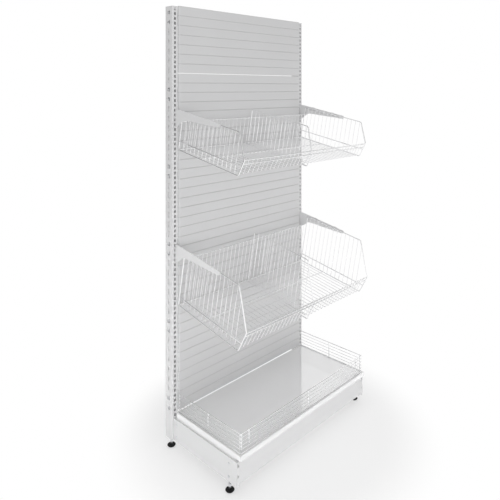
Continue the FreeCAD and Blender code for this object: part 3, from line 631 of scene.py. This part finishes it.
# Stud of a foot: the thread, and a thicker neck on top of the pad
def footStud(place):
    node = place + "_foot_stud"
    low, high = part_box(node)
    middle = ((low.x + high.x) / 2, (low.y + high.y) / 2)
    radius, edge = (high.x - low.x) / 2, studSettings["neckEdge"]
    foot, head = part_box(place + "_foot_pad")[1].z, studSettings["neckHigh"]
    profile = [(0, foot), (radius - edge, foot), (radius, foot + edge),
               (radius, head - edge), (radius - edge, head), (0, head)]
    shapes = [threadShape(low.z, high.z, middle), turned(profile, (*middle, 0.0), upward, across)]
    joinedPiece(node + "_thread", shapes, "zinc", place + "_foot", [node])


for place in ("front_left", "front_right", "rear_left", "rear_right"):
    footPad(place)
    footStud(place)
print("feet done")


# Socket in a bolt's crown: a slightly tapered wall and a flat floor
def boltSocket(bolt, crown):
    floor = crown - bolt["socketDeep"]
    return [(bolt["socket"], crown), (bolt["socket"] * bolt["socketTaper"], floor), (0, floor)]


# Bolts on both sides of the rack; the profile's heights are counted outwards from its middle
def boltsOutwards(node, profile, places):
    shapes = [turned(profile, (0, y, z), (sign, 0, 0), upward) for sign in (-1, 1) for y, z in places]
    joinedPiece(node + "_turned", shapes, "zinc", "stand", [node])


barBoltSettings = {"first": 0.031, "pitch": 0.050, "pair": 2, "group": 8, "bars": 6, "head": 0.0075,
                   "shank": 0.004, "tip": 0.0006, "round": 0.0012, "roundSteps": 4, "socket": 0.0034,
                   "socketDeep": 0.003, "socketTaper": 0.95, "wall": 0.0025, "tail": 0.009}


# Bolts of the tie bars: a long round head with a driven socket, on a thinner shank
def barBolts():
    bolt = barBoltSettings
    low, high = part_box("tie_bar_bolts")
    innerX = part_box("right_upright")[0].x
    headLow, tail, crown = innerX + bolt["wall"], innerX - bolt["tail"], high.x
    head, shank, tip, roundSize = bolt["head"], bolt["shank"], bolt["tip"], bolt["round"]
    profile = [(0, tail), (shank - tip, tail), (shank, tail + tip), (shank, headLow), (head, headLow)]
    profile += quarter(head, crown - roundSize, head - roundSize, crown, bolt["roundSteps"])
    profile += boltSocket(bolt, crown)
    rows = np.arange(bolt["bars"])[:, None] * bolt["group"] + np.arange(bolt["pair"])
    heights = uprightHigh.z - bolt["first"] - rows.ravel() * bolt["pitch"]
    boltsOutwards("tie_bar_bolts", profile, [((low.y + high.y) / 2, z) for z in heights])


legBoltSettings = {"head": 0.006, "headEdge": 0.0006, "domeSteps": 6, "rim": 1.3, "shank": 0.003,
                   "socket": 0.0025, "socketDeep": 0.0014, "socketTaper": 0.95}


# Bolts of the base legs: low domed heads with a socket, whose rim is a multiple of the socket
def legBolts():
    bolt = legBoltSettings
    low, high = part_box("leg_bolts")
    legLow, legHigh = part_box("right_base_leg")
    seat, crown = legHigh.x, high.x
    head, shank, rim = bolt["head"], bolt["shank"], bolt["socket"] * bolt["rim"]
    profile = [(0, legLow.x), (shank, legLow.x), (shank, seat), (head, seat)]
    profile += quarter(head, seat + bolt["headEdge"], rim, crown, bolt["domeSteps"])
    profile += boltSocket(bolt, crown)
    places = [(y, z) for y in (low.y + head, high.y - head) for z in (low.z + head, high.z - head)]
    boltsOutwards("leg_bolts", profile, places)


barBolts()
legBolts()
print("bolts done")

# Camera where the photograph was taken from: level, with the frame shifted down
cameraSettings = {"place": (-2.15375, -2.24747, 1.863), "heading": -46.526, "lens": 38.21,
                  "sensor": 36.0, "shift": (-0.0406, -0.3238)}
camera = bpy.data.cameras.new("camera")
camera.lens = cameraSettings["lens"]
camera.sensor_width = cameraSettings["sensor"]
camera.shift_x, camera.shift_y = cameraSettings["shift"]
eye = bpy.data.objects.new("camera", camera)
eyeX, eyeForward, eyeZ = cameraSettings["place"]
heading = math.radians(cameraSettings["heading"])
eye.location = (eyeX, faceY + eyeForward, eyeZ)
eye.rotation_euler = (math.pi / 2, 0.0, heading)
bpy.context.scene.collection.objects.link(eye)
bpy.context.scene.camera = eye

# Studio: pale floor that glows half white even next to the rack, a painted lift of light that pales the
# rack's shadow and lights the rack from below, and fades into a white surround; one broad lamp overhead,
# one in front and a narrow one low on the left for the base. Dark flags stand left and right of the rack.
studioSettings = {"floor": 14.0, "floorTone": 0.93, "mottle": 0.005, "mottleScale": 3.0, "shadowLiftGlow": 0.50,
                  "fade": (0.58, 0.92), "skyLight": 0.62, "mirrorTop": 0.58, "mirrorFade": (0.40, 0.85),
                  "flag": 0.12, "flagSpan": (0.60, 0.85), "flagFoot": (0.02, 0.10),
                  "flagOnFloor": (3.0, 7.0)}
flagCut = 1.0 - studioSettings["flag"]
rightward = (math.cos(heading), math.sin(heading), 0.0)
lampSettings = {"overhead": {"watts": 42.0, "size": (4.0, 4.0), "spread": 180.0,
                             "place": (-0.3, -0.6, 4.5), "aim": (-0.3, -0.6, 0.0)},
                "front": {"watts": 52.0, "size": (4.0, 2.2), "spread": 180.0,
                          "place": (-3.0, -4.5, 1.1), "aim": (0.0, 0.0, 0.6)},
                "low": {"watts": 3.2, "size": (3.0, 0.8), "spread": 32.0,
                        "place": (-4.3, -3.2, 0.5), "aim": (0.0, 0.0, 0.35)}}


def makeFloor():
    half = studioSettings["floor"] / 2
    square = [(-half, -half, 0), (half, -half, 0), (half, half, 0), (-half, half, 0)]
    mesh = bpy.data.meshes.new("floor")
    mesh.from_pydata(square, [], [(0, 1, 2, 3)])
    floor = bpy.data.objects.new("floor", mesh)
    bpy.context.scene.collection.objects.link(floor)
    material, graph, point = newMaterial("floor")
    distance = graph.node("ShaderNodeVectorMath", {"operation": "LENGTH"}, {0: point}, out="Value")
    # painted light: at least half of the floor glows white, also in the rack's shadow, growing to all of
    # it further out
    shadowLiftGlow = studioSettings["shadowLiftGlow"]
    glowShare = shadowLiftGlow + distance.smooth(*studioSettings["fade"]) * (1.0 - shadowLiftGlow)
    pale, mottle = (studioSettings["floorTone"],) * 3, studioSettings["mottle"]
    patches = graph.noise(point, studioSettings["mottleScale"])
    colour = graph.mixColour(patches, shaded(pale, 1 - mottle), shaded(pale, 1 + mottle))
    matte = graph.node("ShaderNodeBsdfDiffuse", None, {"Color": colour})
    # polished metal sees the left flag go on over the floor, from some way off
    mirrored = graph.node("ShaderNodeLightPath", out="Is Glossy Ray")
    aside = graph.alongWay(point, rightward)
    beside = (aside / distance * -1.0).smooth(*studioSettings["flagSpan"])
    away = distance.smooth(*studioSettings["flagOnFloor"])
    white = graph.node("ShaderNodeEmission", None, {"Strength": 1.0 - mirrored * beside * away * flagCut})
    endSurface(graph, graph.node("ShaderNodeMixShader", None, {0: glowShare, 1: matte, 2: white}))
    mesh.materials.append(material)


def makeSky():
    world = bpy.data.worlds.new("studio")
    bpy.context.scene.world = world
    world.use_nodes = True
    graph = Graph(world.node_tree)
    seen = graph.node("ShaderNodeLightPath", out="Is Camera Ray")
    mirrored = graph.node("ShaderNodeLightPath", out="Is Glossy Ray")
    through = graph.node("ShaderNodeLightPath", out="Is Transmission Ray")
    way = graph.node("ShaderNodeTexCoord", out="Generated")
    height = graph.heightOf(way)
    aside = graph.alongWay(way, rightward)
    # polished metal sees a white surround that darkens towards the ceiling, a dark flag on the left that
    # reaches down to the floor, and one on the right that stands clear of it
    ceiling = 1.0 - height.smooth(*studioSettings["mirrorFade"]) * (1.0 - studioSettings["mirrorTop"])
    onLeft = (aside * -1.0).smooth(*studioSettings["flagSpan"])
    onRight = height.smooth(*studioSettings["flagFoot"]) * aside.smooth(*studioSettings["flagSpan"])
    flags = 1.0 - (onLeft + onRight) * flagCut
    shown = seen.most(through)
    light = mirrored * ceiling * flags + (1.0 - mirrored) * studioSettings["skyLight"]
    strength = shown + (1.0 - shown) * light
    back = graph.node("ShaderNodeBackground", None, {"Color": (1, 1, 1, 1), "Strength": strength})
    graph.node("ShaderNodeOutputWorld", None, {"Surface": back})


def makeLamp(name):
    settings = lampSettings[name]
    lamp = bpy.data.lights.new(name, "AREA")
    lamp.energy = settings["watts"]
    lamp.shape = "RECTANGLE"
    lamp.size, lamp.size_y = settings["size"]
    lamp.spread = math.radians(settings["spread"])
    hung = bpy.data.objects.new(name, lamp)
    place = Vector(settings["place"])
    hung.location = place
    hung.rotation_euler = (Vector(settings["aim"]) - place).to_track_quat("-Z", "Y").to_euler()
    hung.visible_glossy = False
    bpy.context.scene.collection.objects.link(hung)


makeFloor()
makeSky()
for lampName in lampSettings:
    makeLamp(lampName)
bpy.context.scene.view_settings.view_transform = "Standard"
print("studio done")
